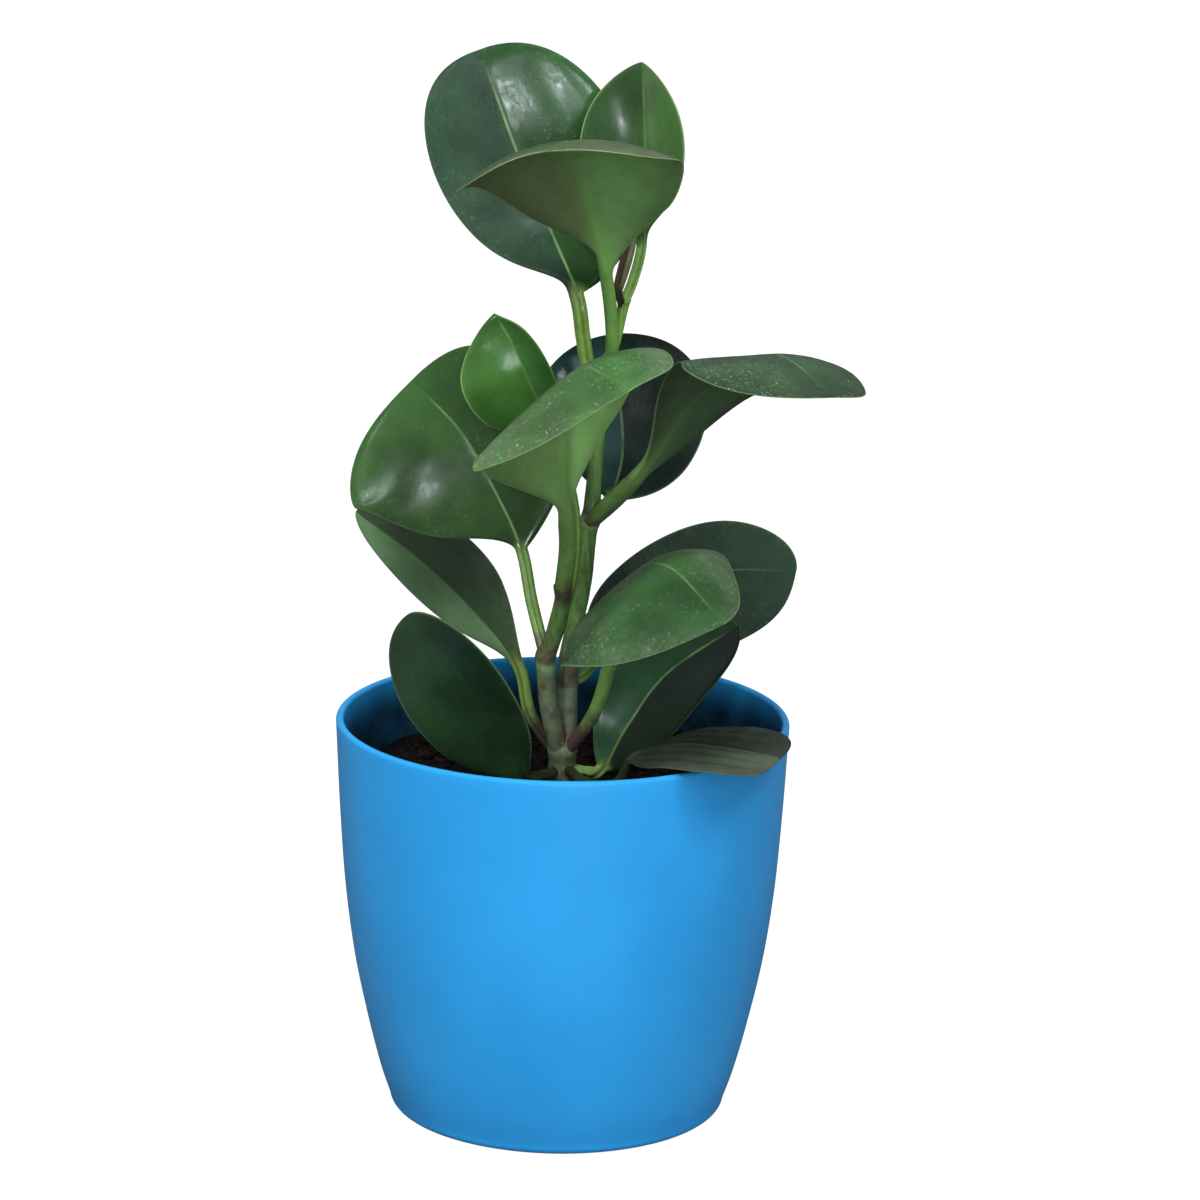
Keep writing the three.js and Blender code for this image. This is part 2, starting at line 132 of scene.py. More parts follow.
# ---- leaves
# Each leaf is one closed surface, a petiole that flattens into a blade.
#   rib     points of the petiole and the midrib, from the stem to the tip
#   neck    index in rib of the point where the blade begins
#   stalk   half thickness of the petiole
#   side    direction towards the blade's right half, at its base and its tip
#   half    greatest width of the left and the right half
#   swell   rise of the two halves' outlines from the base (small is blunt)
#   taper   fall of the outlines towards the tip (small is round)
#   flare   how much the blade's base is drawn in on each side (1 is a full funnel)
#   bend    lift of the two margins at the base and at the tip (minus droops)
LEAVES = {
    "leaf_crown_left": dict(
        rib=[(9, 6.5, 203.5), (5.2, 6, 209), (3.6, 5.5, 217), (1.6, 5.8, 228.5), (-5, 12, 243),
             (-15, 19, 264), (-26, 24, 292)],
        neck=3, stalk=2.1, side=[(1, 0.3, 0.3), (1, 0.2, 0.35)], half=[23.7, 29.86],
        swell=[0.9, 0.65], taper=[0.4, 0.45], flare=[0.9, 0], bend=[(4, 2), (4, 2)]),
    "leaf_crown_right": dict(
        rib=[(14.5, 8.6, 226), (17, 10.5, 232), (19, 10.5, 241), (19.5, 10.5, 254), (19, 13, 272),
             (18, 17, 290.5)],
        neck=2, stalk=1.4, side=[(1, 0.6, 0), (1, 0.2, 0)], half=[20, 9.5],
        swell=[0.9, 1.1], taper=[0.75, 0.75], flare=[0.6, 0.9], bend=[(4, 6), (4, 6)]),
    "leaf_crown_front": dict(
        rib=[(9.5, 6, 206.5), (11.5, 1, 214), (11, 1, 225), (9, -2, 238), (5, -8, 255),
             (1, -24, 274), (-5, -54, 278)],
        neck=2.75, stalk=1.8, side=[(-1, 0, -0.05), (-1, 0.1, -0.12)], half=[28.2, 31.5],
        swell=[0.95, 1.6], taper=[0.4, 0.5], flare=[0.6, 1.6], bend=[(-9, 2), (-6, -14)]),
    "leaf_mid_left": dict(
        rib=[(-5, -10, 131), (-9, -8, 146), (-12, -6, 160), (-18, -4, 173), (-29, 4, 190),
             (-43, 10, 203)],
        neck=2, stalk=1.7, side=[(1, 0, 0.6), (1, 0, 0.6)], half=[35.5, 24.5],
        swell=[1.1, 0.7], taper=[0.4, 0.4], flare=[0.4, 0.3], bend=[(3, 3), (3, 3)]),
    "leaf_young": dict(
        rib=[(-2, -11.5, 140), (1.8, -7.5, 152), (2.2, -9, 172), (-4, -13.5, 195), (-10, -16, 208),
             (-15, -16, 219), (-20, -14, 227)],
        neck=3, stalk=1.5, side=[(1, 0, 0.4), (1, 0, 0.4)], half=[17, 7.5],
        swell=[0.6, 0.8], taper=[0.7, 1.1], flare=[0, 0], bend=[(6, 8), (6, 8)]),
    "leaf_back": dict(
        rib=[(6.5, 5, 165), (9, 10, 168), (12, 14, 170), (15, 22, 180), (14, 30, 194),
             (11, 38, 211)],
        neck=2, stalk=1.8, side=[(1, 0, 0), (1, 0, 0)], half=[24, 24],
        swell=[0.8, 0.8], taper=[0.5, 0.5], flare=[0, 0], bend=[(3, 3), (3, 3)]),
    "leaf_mid_front": dict(
        rib=[(-0.5, -13.7, 151), (0.6, -17, 164), (-0.2, -20, 177), (-0.6, -26, 196), (3, -38, 217),
             (16, -62, 217)],
        neck=1.5, stalk=2.4, side=[(-0.72, -0.5, -0.4), (-0.72, -0.5, -0.4)], half=[22, 43],
        swell=[1.5, 1.5], taper=[0.5, 0.5], flare=[0.9, 0.9], bend=[(-3, -3), (-8, -9)]),
    "leaf_right_out": dict(
        rib=[(6.5, 3.5, 166), (14.5, -2, 175), (23.5, -4, 186.5), (36, -10, 206), (54, -25, 219),
             (69, -47, 213)],
        neck=1.3, stalk=2.4, side=[(-0.8, -0.6, 0.04), (-0.8, -0.6, 0.08)], half=[24.5, 34],
        swell=[1.4, 2.2], taper=[0.5, 0.5], flare=[0.2, 0.2], bend=[(2, 2), (-7, -2)]),
    "leaf_left_back": dict(
        rib=[(-0.5, -6, 101), (-9, 2, 111), (-13, 8, 124), (-26, 14, 138), (-41, 18, 151),
             (-58.5, 22, 163)],
        neck=2, stalk=1.7, side=[(0.6, -0.3, 0.6), (0.6, -0.3, 0.6)], half=[9, 16.5],
        swell=[0.7, 0.7], taper=[0.6, 0.6], flare=[0.5, 0.5], bend=[(2, 2), (2, 2)]),
    "leaf_left_low": dict(
        rib=[(-1, -7, 97.5), (-6, -14, 98), (-10, -18, 99.5), (-17, -22, 113), (-28, -26, 131),
             (-42, -28, 147)],
        neck=2, stalk=1.7, side=[(0.7, -0.2, 0.5), (0.7, -0.2, 0.5)], half=[19, 10.5],
        swell=[0.7, 0.7], taper=[0.5, 0.5], flare=[0, 0.3], bend=[(3, 3), (3, 3)]),
    "leaf_right_low": dict(
        rib=[(1, -5.5, 98), (7, -7.5, 97.5), (11, -8, 99), (17.6, 2, 108.3), (28.5, 12, 121),
             (48, 20, 133)],
        neck=2, stalk=1.7, side=[(0.7, 0.2, -0.5), (0.7, 0.2, -0.5)], half=[13.5, 12.5],
        swell=[0.7, 0.7], taper=[0.5, 0.5], flare=[0, 0], bend=[(3, 3), (3, 3)]),
    "leaf_right_front": dict(
        rib=[(1, -7, 103), (9, -12, 117), (13, -18, 135), (16, -24, 155), (27, -42, 165),
             (42, -62, 155)],
        neck=2, stalk=1.9, side=[(-0.66, -0.65, -0.37), (-0.66, -0.65, -0.37)], half=[18.5, 40],
        swell=[0.8, 1.2], taper=[0.6, 0.5], flare=[0, 0.6], bend=[(-2, -2), (-10, -13)]),
    "leaf_right_back": dict(
        rib=[(1, -2, 121), (6, 3.5, 123), (9, 10, 126), (20, 16, 137), (41, 24, 147),
             (64.5, 32, 146)],
        neck=2, stalk=1.8, side=[(0.5, 0.3, -0.8), (0.4, 0.4, -0.8)], half=[18, 25],
        swell=[0.6, 0.8], taper=[0.55, 0.38], flare=[0, 0], bend=[(2, 2), (2, 2)]),
    "leaf_rim": dict(
        rib=[(1, -7.5, 99), (7, -16, 96.9), (15, -20.5, 98.5), (20, -23, 107), (31, -31, 112.4),
             (43.5, -39, 114), (58.5, -44, 113.1)],
        neck=2.7, stalk=1.5, side=[(0.05, -1, -0.01), (0.05, -1, -0.01)], half=[22, 21.5],
        swell=[1.4, 0.85], taper=[0.3, 0.2], flare=[2, 0.3], bend=[(0.5, 0), (1.2, 0)]),
    "bud": dict(
        rib=[(14, 8, 225.5), (13, 5, 230), (14, 4.5, 236), (15.5, 4.5, 242), (17, 5, 248)],
        neck=1, stalk=1.1, side=[(1, 0.4, 0), (1, 0.4, 0)], half=[1.7, 1.7],
        swell=[0.5, 0.5], taper=[0.5, 0.5], flare=[0, 0], bend=[(0.8, 0.8), (0.8, 0.8)]),
}
BLADE_MIDDLE = 0.75          # half thickness of a blade along its midrib
BLADE_EDGE = 0.42            # half thickness of a blade near its margin
THINNING = 0.3               # share of the blade over which the stalk thins out
FLARE_REACH = 0.2            # share of the blade over which a funnel opens
RIB_START = 0.06             # share of the blade over which its midrib sets in
PETIOLE_RINGS = 18
BLADE_RINGS = 60
TIP_CUT = 8e-4               # share of the blade that its blunt tip leaves out
HALF_STRIPS = 18             # strips from the midrib to one margin
CROWDING = 0.13              # how much closer the strips lie at midrib and margin
UNFOLD_REACH = 4             # rings and strips round a fold that are smoothed with it
UNFOLD_ROUNDS = 22
RIB_GROOVE = 0.1             # depth of the channel along the upper midrib
RIB_GROOVE_WIDTH = 0.7       # from the midrib to either side
RIB_KEEL = 0.9               # height of the lower midrib where the blade begins
RIB_KEEL_WIDTH = 1.5
PETIOLE_CHANNEL = 0.3        # depth of the petiole's channel, as a share of its radius
PETIOLE_CHANNEL_WIDTH = 0.5  # and its half width, likewise
RIPPLE = 0.1                 # height of the blade's soft unevenness
RIPPLE_LENGTHS = (34, 23, 15)  # of its waves
RIPPLE_HALF_WIDTH = 20       # half width of a blade that takes it in full
RIPPLE_FROM_RIB = 3          # distance over which it grows away from the midrib

# Colours are 8-bit screen colours.
#   upper, under   the two faces, each left and right of the midrib; on some leaves one half is darker as painted shade
#   stalk, foot    the petiole, and its end on the stem with the share that it takes
#   edge           the pale midrib and margin, with the strength of each: rib, margin
#   shade          painted shade and light: brightness at the blade's base and tip, next to its middle
#   veins          strength of the arching veins on the upper face
#   dust, film     strength of pale specks, and of a grey film towards the margins
#   gloss          roughness of the upper face, left and right of the midrib
LOOK = dict(
    upper=[(40, 64, 40), (40, 64, 40)], under=[(78, 108, 64), (78, 108, 64)],
    stalk=(112, 150, 72), foot=(84, 70, 54), foot_share=0.2, edge=(128, 158, 104),
    shade=(0.85, 1.1), rib=0.4, margin=0.35, veins=0.05, dust=0.2, film=0.0, gloss=(0.2, 0.2))
LEAF_LOOKS = {
    # Painted shade: the left half is darker and bluer, as it lies in shade.
    "leaf_crown_left": dict(
        upper=[(44, 70, 52), (44, 80, 42)], rib=0.8, margin=0.1, dust=0.3, foot=(160, 190, 100),
        stalk=(154, 196, 98), shade=(0.65, 1.1), gloss=(0.26, 0.13)),
    "leaf_crown_right": dict(
        upper=[(44, 72, 38), (54, 86, 42)], rib=0.3, margin=0.8, dust=0.05,
        foot=(136, 176, 92), stalk=(128, 170, 84), gloss=(0.17, 0.3)),
    # Painted shade: the second, darker and browner lower-face colour is on the half that lies in
    # shade.
    "leaf_crown_front": dict(
        upper=[(72, 90, 62), (72, 90, 62)], under=[(120, 166, 98), (102, 120, 76)],
        edge=(146, 158, 116), margin=0.9, stalk=(122, 172, 84), foot=(122, 176, 84), film=0.5,
        gloss=(0.3, 0.3)),
    "leaf_mid_left": dict(
        upper=[(40, 68, 32), (36, 62, 30)], rib=0.6, foot=(96, 76, 62), dust=0.08,
        shade=(0.9, 1.8), gloss=(0.15, 0.15)),
    "leaf_young": dict(
        upper=[(60, 104, 44), (54, 98, 42)], edge=(122, 164, 80), margin=0.9, rib=0.35,
        dust=0, shade=(1.0, 0.75), gloss=(0.17, 0.17)),
    # Painted shade: the right half is darker, as it lies in shade.
    "leaf_back": dict(upper=[(28, 56, 54), (17, 33, 28)], dust=0, gloss=(0.17, 0.27)),
    "leaf_mid_front": dict(
        upper=[(68, 110, 60), (66, 100, 58)], under=[(156, 212, 120), (124, 166, 94)],
        stalk=(96, 136, 66), foot=(84, 72, 52), foot_share=0.12, film=0.5, dust=1.4, margin=0.7,
        gloss=(0.34, 0.34)),
    "leaf_right_out": dict(
        upper=[(44, 74, 44), (42, 70, 42)], under=[(66, 94, 56), (64, 90, 54)],
        stalk=(86, 118, 62), foot=(76, 84, 54), film=0.15, dust=1.2, rib=0.5, margin=0.5,
        gloss=(0.4, 0.4)),
    "leaf_left_back": dict(
        upper=[(90, 124, 84), (52, 74, 48)], stalk=(112, 140, 68), foot=(58, 50, 42),
        foot_share=0.5, rib=0.15, film=0.25, dust=0.1, margin=0.2, gloss=(0.36, 0.36)),
    "leaf_left_low": dict(
        upper=[(31, 56, 33), (31, 54, 34)], rib=0, shade=(1.35, 1.05), dust=0.05,
        stalk=(58, 66, 40), foot=(50, 42, 34), gloss=(0.28, 0.28)),
    # Painted shade: the right half is much darker, and the tip is darkened, as they lie in shade.
    "leaf_right_low": dict(
        upper=[(38, 76, 46), (15, 34, 20)], rib=0.7, edge=(120, 156, 84), dust=0.02,
        stalk=(116, 148, 82), foot=(58, 52, 38), margin=0.2, shade=(1.4, 0.55), gloss=(0.2, 0.6)),
    "leaf_right_front": dict(
        upper=[(54, 84, 50), (48, 80, 46)], stalk=(112, 152, 76), foot=(80, 64, 58),
        foot_share=0.42, rib=0.45, film=0.35, dust=0.6, margin=0.6, shade=(0.5, 1.1),
        gloss=(0.3, 0.3)),
    "leaf_right_back": dict(
        upper=[(46, 72, 54), (44, 69, 52)], rib=0.3, film=0.2, foot=(84, 70, 58),
        margin=0.2, shade=(0.6, 1.1), gloss=(0.22, 0.22)),
    "leaf_rim": dict(
        upper=[(38, 48, 40), (66, 78, 62)], edge=(104, 114, 90), rib=0.5, margin=0.4,
        veins=0.7, film=0.15, dust=0.05, stalk=(50, 58, 38), foot=(44, 36, 30), gloss=(0.5, 0.5)),
    "bud": dict(
        upper=[(70, 52, 42), (86, 98, 56)], under=[(74, 54, 44), (84, 88, 54)],
        edge=(104, 98, 60), rib=0, dust=0, stalk=(70, 62, 42), foot=(62, 48, 36)),
}
VEINS = 3.2                  # arching veins on each half of a blade
VEIN_RELIEF = 0.12           # depth of a full-strength vein, in mm
UNDER_ROUGHER = 0.22         # added roughness of the lower face
DUST_ROUGHER = 0.2           # and of dust
EDGE_ROUGHER = 0.45          # and of the margin
SLOTS = {"leaf_young": "leaf_young_green", "leaf_rim": "leaf_old_green", "bud": "bud_brown"}

# ---- light
# Azimuth and elevation that a lamp shines from, distance, width and height in metres, and
# how bright it makes a white card that faces it. Only panes, small windows, show in gloss.
LAMPS = {
    "key": (-34, 50, 1.7, 0.5, 0.5, 0.64),
    "top": (0, 78, 1.7, 0.25, 0.25, 0.1),
    "front": (0, 18, 1.9, 1.0, 0.9, 0.16),
    "right": (44, 48, 1.7, 0.4, 0.4, 0.28),
    "back": (165, 25, 1.8, 0.8, 0.5, 0.3),
}
PANES = {
    "pane_floor": (9, -2, 0.9, 0.2, 0.14, 0.17),
    "pane_low": (14.9, 19.8, 1.6, 0.045, 0.07, 0.018),
    "pane_low_left": (6.7, 16.2, 1.6, 0.05, 0.06, 0.015),
    "pane_top": (18.3, 42.8, 1.6, 0.08, 0.1, 0.03),
    "pane_back_leaf": (-3.5, 41, 1.6, 0.12, 0.1, 0.01),
    "pane_left": (-24, 32.5, 1.6, 0.04, 0.16, 0.03),
    "pane_right": (51, 20.4, 1.6, 0.06, 0.08, 0.032),
    "pane_side": (77, 9, 1.6, 0.03, 0.12, 0.03),
    "pane_back": (165, 36, 1.6, 0.3, 0.2, 0.01),
}
LAMP_COLOUR = (1.0, 1.0, 1.0)
PANE_COLOUR = (0.85, 0.93, 1.0)
LAMP_AIM = Vector((0, 0, 0.15))
ROOM = 0.2                   # brightness of the room round the object
ROOM_COLOUR = (0.93, 0.96, 1, 1)
FLOOR_REACH = 30             # metres from the middle of the floor to its sides
FLOOR_GLOW = 0.97            # what the floor adds to look white


# ==== helpers
def linear(colour):
    """The linear colour, with full alpha, of an 8-bit screen colour."""
    channels = [c / 255 for c in colour]
    return (*[c / 12.92 if c < 0.04045 else ((c + 0.055) / 1.055) ** 2.4 for c in channels], 1.0)


def curve(points, t):
    """Places on a uniform Catmull-Rom curve with straight ends, for an array t in 0..1."""
    p = np.array(points, float)
    padded = np.vstack([2 * p[0] - p[1], p, 2 * p[-1] - p[-2]])
    x = np.clip(t, 0, 1) * (len(p) - 1)
    i = np.minimum(x.astype(int), len(p) - 2)
    f = (x - i)[:, None]
    p0, p1, p2, p3 = padded[i], padded[i + 1], padded[i + 2], padded[i + 3]
    return 0.5 * (2 * p1 + (p2 - p0) * f + (2 * p0 - 5 * p1 + 4 * p2 - p3) * f * f
                  + (3 * p1 - p0 - 3 * p2 + p3) * f ** 3)


def unit(v):
    return v / np.linalg.norm(v, axis=-1, keepdims=True)


def square_to(v, along):
    """The part of each v that stands square to along, at length 1."""
    return unit(v - along * np.sum(v * along, axis=1, keepdims=True))


def turns(count):
    """Angles of count places round a circle."""
    return np.linspace(0, 2 * np.pi, count, endpoint=False)


def grid_faces(rings, section):
    """Quads between closed rings of points that are stored one ring after another."""
    faces = []
    for i in range(rings - 1):
        for j in range(section):
            a = i * section + j
            b = i * section + (j + 1) % section
            faces.append((a, b, b + section, a + section))
    return faces


def inside_out(faces):
    return [tuple(reversed(f)) for f in faces]


def end_caps(rings, section):
    """Faces that close the first and the last ring."""
    first = tuple(reversed(range(section)))
    last = tuple(range((rings - 1) * section, rings * section))
    return [first, last]


def tube(path, radii, sides, sections=1.0):
    """Points and faces of a closed tube along a path, with a radius at each place."""
    path = np.array(path, float)
    ahead = np.vstack([path[1:], 2 * path[-1:] - path[-2:-1]])
    behind = np.vstack([2 * path[:1] - path[1:2], path[:-1]])
    along = unit(ahead - behind)
    guess = np.where(np.abs(along[:, :1]) > 0.9, [[0.0, 1.0, 0.0]], [[1.0, 0.0, 0.0]])
    across = square_to(guess, along)
    up = np.cross(along, across)
    turn = turns(sides)
    width = np.array(radii, float)[:, None] * sections * np.ones(sides)
    points = (path[:, None] + across[:, None] * (width * np.cos(turn))[:, :, None]
              + up[:, None] * (width * np.sin(turn))[:, :, None])
    return points.reshape(-1, 3), grid_faces(len(path), sides) + end_caps(len(path), sides)


def piece(name, points, faces, material, slot, values=None):
    """A smooth mesh object that rides on the plant. values are numbers for each vertex."""
    mesh = bpy.data.meshes.new(name)
    mesh.from_pydata((np.array(points) * MM).tolist(), [], faces)
    for key, numbers in (values or {}).items():
        stored = mesh.attributes.new(key, "FLOAT", "POINT")
        stored.data.foreach_set("value", np.array(numbers, np.float32))
    mesh.shade_smooth()
    mesh.materials.append(material)
    made = bpy.data.objects.new(name, mesh)
    bpy.context.scene.collection.objects.link(made)
    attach(made, "root")
    return made


# ==== materials
class Shader:
    """A Principled material, with short calls that add nodes to it. Sizes are in mm."""

    def __init__(self, name, **surface):
        self.material = bpy.data.materials.new(name)
        self.material.use_nodes = True
        self.tree = self.material.node_tree
        self.surface = self.tree.nodes["Principled BSDF"]
        for key, value in surface.items():
            self.set(key.replace("_", " ").title(), value)
        self.place = self.tree.nodes.new("ShaderNodeTexCoord").outputs["Object"]

    def plug(self, socket, value):
        if isinstance(value, bpy.types.NodeSocket):
            self.tree.links.new(value, socket)
        else:
            socket.default_value = value

    def set(self, key, value):
        if key == "Specular":
            key = "Specular IOR Level"
        self.plug(self.surface.inputs[key], value)

    def add(self, kind, inputs, **settings):
        node = self.tree.nodes.new(kind)
        for key, value in settings.items():
            setattr(node, key, value)
        for key, value in inputs.items():
            self.plug(node.inputs[key], value)
        return node

    def number(self, name):
        return self.add("ShaderNodeAttribute", {}, attribute_name=name).outputs["Fac"]

    def noise(self, size, detail=2.0, roughness=0.5, place=None):
        node = self.add("ShaderNodeTexNoise", {
            "Vector": place or self.place, "Scale": 1 / (size * MM), "Detail": detail,
            "Roughness": roughness})
        return node.outputs["Fac"]

    def cells(self, size):
        """Distance from the middle of the nearest cell."""
        node = self.add("ShaderNodeTexVoronoi", {"Vector": self.place, "Scale": 1 / (size * MM)})
        return node.outputs["Distance"]

    def math(self, operation, a, b=0.0):
        return self.add("ShaderNodeMath", {0: a, 1: b}, operation=operation).outputs[0]

    def times(self, *factors):
        """The product of sockets and numbers."""
        product = factors[0]
        for factor in factors[1:]:
            product = self.math("MULTIPLY", product, factor)
        return product

    def plus(self, *terms):
        """The sum of sockets and numbers."""
        total = terms[0]
        for term in terms[1:]:
            total = self.math("ADD", total, term)
        return total

    def ramp(self, value, low, high, start=0.0, end=1.0):
        """Smooth change from start to end as value goes from low to high."""
        node = self.add("ShaderNodeMapRange", {
            "Value": value, "From Min": low, "From Max": high, "To Min": start, "To Max": end},
            interpolation_type="SMOOTHSTEP")
        return node.outputs["Result"]

    def mix(self, factor, a, b, blend="MIX"):
        node = self.add("ShaderNodeMix", {0: factor, 6: a, 7: b}, data_type="RGBA",
                        blend_type=blend)
        return node.outputs[2]

    def tint(self, factor, colour, by):
        """A colour multiplied by another one, as far as factor says."""
        return self.mix(factor, colour, (*by, 1), "MULTIPLY")

    def bump(self, height, depth, normal=None):
        inputs = {"Height": height, "Distance": depth * MM, "Strength": 1.0}
        if normal is not None:
            inputs["Normal"] = normal
        return self.add("ShaderNodeBump", inputs).outputs["Normal"]


def pot_material():
    """Blue plastic with faint clouds and scuffs, and painted shade that darkens the inside."""
    s = Shader("pot_plastic", specular=0.4)
    cloud = s.ramp(s.noise(38, 3), 0.35, 0.65)
    colour = s.mix(cloud, linear((44, 163, 236)), linear((48, 170, 244)))
    scuff = s.ramp(s.noise(5, 6, 0.75), 0.62, 0.8)
    colour = s.mix(s.times(scuff, 0.12), colour, linear((95, 180, 235)))
    patches = s.ramp(s.noise(9, 4, 0.6), 0.25, 0.7, 1.0, 0.8)
    # Painted shade: the inside darkens to a dark blue-grey with depth.
    inner_shade = s.times(s.number("inside"), patches)
    s.set("Base Color", s.mix(inner_shade, colour, linear((20, 32, 42))))
    s.set("Roughness", s.ramp(s.noise(2.5, 4, 0.6), 0.3, 0.7, 0.36, 0.46))
    s.set("Normal", s.bump(s.noise(0.7, 3, 0.6), 0.02))
    return s.material


def soil_material(name, dark, light):
    """Grainy peat between two colours, with paler flecks."""
    s = Shader(name, specular=0.25, roughness=0.95)
    grain = s.ramp(s.noise(2.2, 6, 0.7), 0.3, 0.72)
    fleck = s.ramp(s.noise(0.9, 2, 0.6), 0.66, 0.74)
    colour = s.mix(grain, linear(dark), linear(light))
    s.set("Base Color", s.mix(s.times(fleck, 0.5), colour, linear((74, 56, 44))))
    s.set("Normal", s.bump(s.noise(0.8, 6, 0.75), 0.5))
    return s.material


def stem_material():
    """Grey-green and woody at the foot, fresh green at the top, with bands at the leaf nodes."""
    s = Shader("stem_skin", specular=0.4)
    height = s.number("height")
    mottle = s.noise(3.5, 4, 0.65)
    stretched = s.add("ShaderNodeMapping", {"Vector": s.place, "Scale": (1.0, 1.0, 0.12)})
    streak = s.noise(0.9, 3, 0.6, place=stretched.outputs["Vector"])
    old = s.mix(s.ramp(mottle, 0.35, 0.65), linear((100, 104, 88)), linear((110, 130, 94)))
    green = s.mix(s.ramp(streak, 0.35, 0.7), linear((72, 104, 52)), linear((92, 134, 66)))
    fresh = s.mix(s.ramp(streak, 0.3, 0.7), linear((120, 166, 78)), linear((150, 200, 100)))
    colour = s.mix(s.ramp(height, 118, 140), old, green)
    colour = s.mix(s.ramp(height, 178, 204), colour, fresh)
    flushed = s.times(s.ramp(s.noise(5, 4, 0.65), 0.45, 0.65), s.ramp(height, 175, 120, 0.1, 0.75))
    colour = s.mix(flushed, colour, linear((80, 66, 56)))
    browned = s.times(s.number("brown"), s.ramp(s.noise(2.5, 4, 0.7), 0.3, 0.6, 0.3, 0.9))
    colour = s.mix(browned, colour, linear((72, 56, 50)))
    paled = s.times(s.number("pale"), s.ramp(s.noise(2, 3, 0.7), 0.35, 0.6, 0.1, 0.6))
    colour = s.mix(paled, colour, linear((140, 164, 104)))
    speck = s.ramp(s.cells(1.6), 0.14, 0.06)
    s.set("Base Color", s.mix(s.times(speck, 0.45), colour, linear((150, 158, 120))))
    s.set("Roughness", s.ramp(mottle, 0.3, 0.7, 0.36, 0.52))
    s.set("Normal", s.bump(streak, 0.25))
    return s.material


class LeafShader(Shader):
    """A leaf's skin, painted by the measures that make_leaf stores on its mesh.

    along is -1..0 on the petiole and 0..1 on the blade, across is -1..1 from the left margin
    to the right one, and from_rib and from_edge are in mm.
    """

    def __init__(self, name, look):
        super().__init__(name + "_skin", specular=0.5)
        self.look = look
        self.pale = linear(look["edge"])
        self.along = self.number("along")
        self.across = self.number("across")
        self.from_rib = self.number("from_rib")
        self.from_edge = self.number("from_edge")
        self.out = self.math("ABSOLUTE", self.across)
        self.upper = self.ramp(self.number("upper"), 0.35, 0.65)
        self.vein = self.veins()
        self.dust = self.specks()
        colour = self.mix(self.upper, self.lower_face(), self.dusted(self.upper_face()))
        self.set("Base Color", self.with_petiole(self.with_margin(colour)))
        self.set("Roughness", self.roughness())
        skin = self.bump(self.noise(3.5, 4, 0.6), 0.02)
        relief = VEIN_RELIEF * look["veins"]
        self.set("Normal", self.bump(self.times(self.vein, -1.0), relief, skin))

    def halves(self, pair, softness):
        """The left colour on the left half, and the right one on the right. On some leaves the
        darker half's colour is painted shade.
        """
        right = self.ramp(self.across, -softness, softness)
        return self.mix(right, *[linear(c) for c in pair])

    def veins(self):
        """0..1: bands that arch from the midrib towards the tip, and fade at both ends."""
        wander = self.ramp(self.noise(9, 2), 0.2, 0.8, -0.025, 0.025)
        phase = self.times(self.plus(self.out, wander), 2 * math.pi * VEINS)
        wave = self.ramp(self.math("SINE", phase), -0.2, 1.0)
        return self.times(wave, self.ramp(self.along, 0.02, 0.3), self.ramp(self.along, 1.0, 0.75))

    def specks(self):
        """0..1: round specks and finer grit, in patches, and more of them near the margins."""
        dots = self.ramp(self.cells(2.4), 0.16, 0.05)
        grit = self.ramp(self.noise(1.0, 4, 0.7), 0.56, 0.7)
        near_edge = self.ramp(self.out, 0.4, 1.0, 0.0, 0.14)
        patches = self.ramp(self.plus(self.noise(13, 4, 0.65), near_edge), 0.42, 0.62)
        return self.times(self.math("MAXIMUM", dots, grit), patches)

    def upper_face(self):
        """A green for each half, clouded and finely grained, with veins and midrib, and with
        painted shade and light towards its base and tip.
        """
        # Painted shade and light: the blade is darker or lighter at its base and its tip.
        base_shade, tip_shade = self.look["shade"]
        shading_and_tone = self.times(self.ramp(self.along, 0.0, 0.5, base_shade, 1.0),
                          self.ramp(self.along, 0.5, 1.0, 1.0, tip_shade),
                          self.ramp(self.noise(17, 2, 0.5), 0.32, 0.7, 1.25, 0.75))
        face = self.halves(self.look["upper"], 0.04)
        face = self.add("ShaderNodeVectorMath", {0: face, "Scale": shading_and_tone},
                        operation="SCALE").outputs[0]
        warm = self.ramp(self.noise(11, 3, 0.6), 0.5, 0.75, 0.0, 0.5)
        face = self.tint(warm, face, (1.35, 1.2, 0.8))
        grain = self.ramp(self.noise(1.3, 4, 0.65), 0.35, 0.7)
        face = self.tint(grain, face, (1.12, 1.12, 1.12))
        face = self.tint(self.times(self.vein, self.look["veins"]), face, (0.5, 0.5, 0.52))
        broken = self.ramp(self.noise(7, 2), 0.3, 0.55, 0.45, 1)
        rib = self.times(self.ramp(self.from_rib, 0.5, 0.15), self.ramp(self.along, 0.98, 0.8),
                         broken, self.look["rib"])
        return self.mix(rib, face, self.pale)

    def dusted(self, face):
        """The upper face under a film towards the margins and pale specks."""
        smear = self.ramp(self.noise(4, 6, 0.75), 0.42, 0.65)
        film = self.times(smear, self.ramp(self.out, 0.2, 0.95), self.look["film"])
        face = self.mix(film, face, linear((112, 106, 96)))
        return self.mix(self.times(self.dust, 0.6 * self.look["dust"]), face,
                        linear((160, 178, 158)))

    def lower_face(self):
        """Duller, with the petiole's green running out along the midrib."""
        face = self.halves(self.look["under"], 0.3)
        face = self.tint(self.ramp(self.noise(5, 4, 0.6), 0.35, 0.65, 0, 0.5), face,
                         (0.7, 0.72, 0.66))
        face = self.tint(self.ramp(self.out, 0.45, 1.0, 0.0, 0.7), face, (0.55, 0.5, 0.5))
        keel = self.ramp(self.plus(self.from_rib, self.times(self.along, 13.0)), 9.0, 1.0)
        return self.mix(keel, face, linear(self.look["stalk"]))

    def with_margin(self, colour):
        """A thin pale line along the blade's margin."""
        line = self.times(self.ramp(self.from_edge, 0.6, 0.15), self.ramp(self.along, 0.0, 0.08),
                          self.look["margin"])
        return self.mix(line, colour, self.pale)

